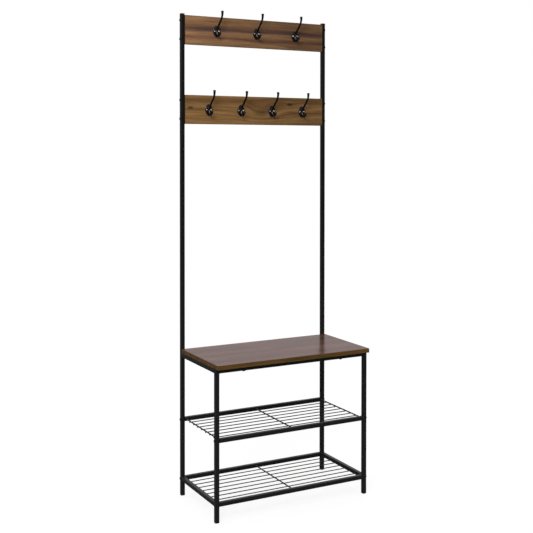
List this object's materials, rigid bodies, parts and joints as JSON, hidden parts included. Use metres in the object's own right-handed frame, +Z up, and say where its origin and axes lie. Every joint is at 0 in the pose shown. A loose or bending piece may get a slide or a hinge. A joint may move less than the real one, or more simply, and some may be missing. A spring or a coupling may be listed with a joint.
{
  "type": "hall tree",
  "caption": "Hall tree with coat hooks: square tube frame, wooden seat, wire shoe shelves under it and wooden panels of hooks between two tall posts.",
  "frame": {"origin": "on the floor under the centre of the object's bounding box", "axes": "+Z up, +X to the right as seen from the front, -Y to the front where a person sits"},
  "size_m": [0.6338, 0.332, 1.8118],
  "materials": {
    "black_powder_coat": "satin black powder coat",
    "black_plastic": "matte black",
    "seat_walnut": "satin walnut laminate, grain along the length",
    "panel_walnut": "satin walnut laminate, grain along the length",
    "hook_black_nickel": "black nickel plating",
    "black_zinc_bolt": "black zinc"
  },
  "bodies": {
    "root": {"front_leg_left": "black_powder_coat", "rear_leg_left": "black_powder_coat", "upper_post_left": "black_powder_coat", "post_cap_left": "black_plastic", "front_foot_left": "black_plastic", "rear_foot_left": "black_plastic", "front_leg_right": "black_powder_coat", "rear_leg_right": "black_powder_coat", "upper_post_right": "black_powder_coat", "post_cap_right": "black_plastic", "front_foot_right": "black_plastic", "rear_foot_right": "black_plastic", "bench_rail_front": "black_powder_coat", "bench_rail_rear": "black_powder_coat", "bench_rail_left": "black_powder_coat", "bench_rail_right": "black_powder_coat", "middle_rail_front": "black_powder_coat", "middle_rail_rear": "black_powder_coat", "bottom_rail_front": "black_powder_coat", "bottom_rail_rear": "black_powder_coat", "bottom_rail_left": "black_powder_coat", "bottom_rail_right": "black_powder_coat", "middle_wire_grid": "black_powder_coat", "bottom_wire_grid": "black_powder_coat", "seat_board": "seat_walnut", "upper_hook_panel": "panel_walnut", "lower_hook_panel": "panel_walnut", "upper_hook_1": "hook_black_nickel", "upper_hook_2": "hook_black_nickel", "upper_hook_3": "hook_black_nickel", "lower_hook_1": "hook_black_nickel", "lower_hook_2": "hook_black_nickel", "lower_hook_3": "hook_black_nickel", "lower_hook_4": "hook_black_nickel", "middle_bolt_front_left": "black_zinc_bolt", "middle_bolt_front_right": "black_zinc_bolt", "middle_bolt_rear_left": "black_zinc_bolt", "middle_bolt_rear_right": "black_zinc_bolt", "bottom_bolt_front_left": "black_zinc_bolt", "bottom_bolt_front_right": "black_zinc_bolt", "bottom_bolt_rear_left": "black_zinc_bolt", "bottom_bolt_rear_right": "black_zinc_bolt", "upper_panel_bolt_top_left": "black_zinc_bolt", "upper_panel_bolt_top_right": "black_zinc_bolt", "upper_panel_bolt_bottom_left": "black_zinc_bolt", "upper_panel_bolt_bottom_right": "black_zinc_bolt", "lower_panel_bolt_top_left": "black_zinc_bolt", "lower_panel_bolt_top_right": "black_zinc_bolt", "lower_panel_bolt_bottom_left": "black_zinc_bolt", "lower_panel_bolt_bottom_right": "black_zinc_bolt", "seat_screw_front_left": "black_zinc_bolt", "seat_screw_front_right": "black_zinc_bolt", "seat_screw_rear_left": "black_zinc_bolt", "seat_screw_rear_right": "black_zinc_bolt"}
  },
  "joints": []
}
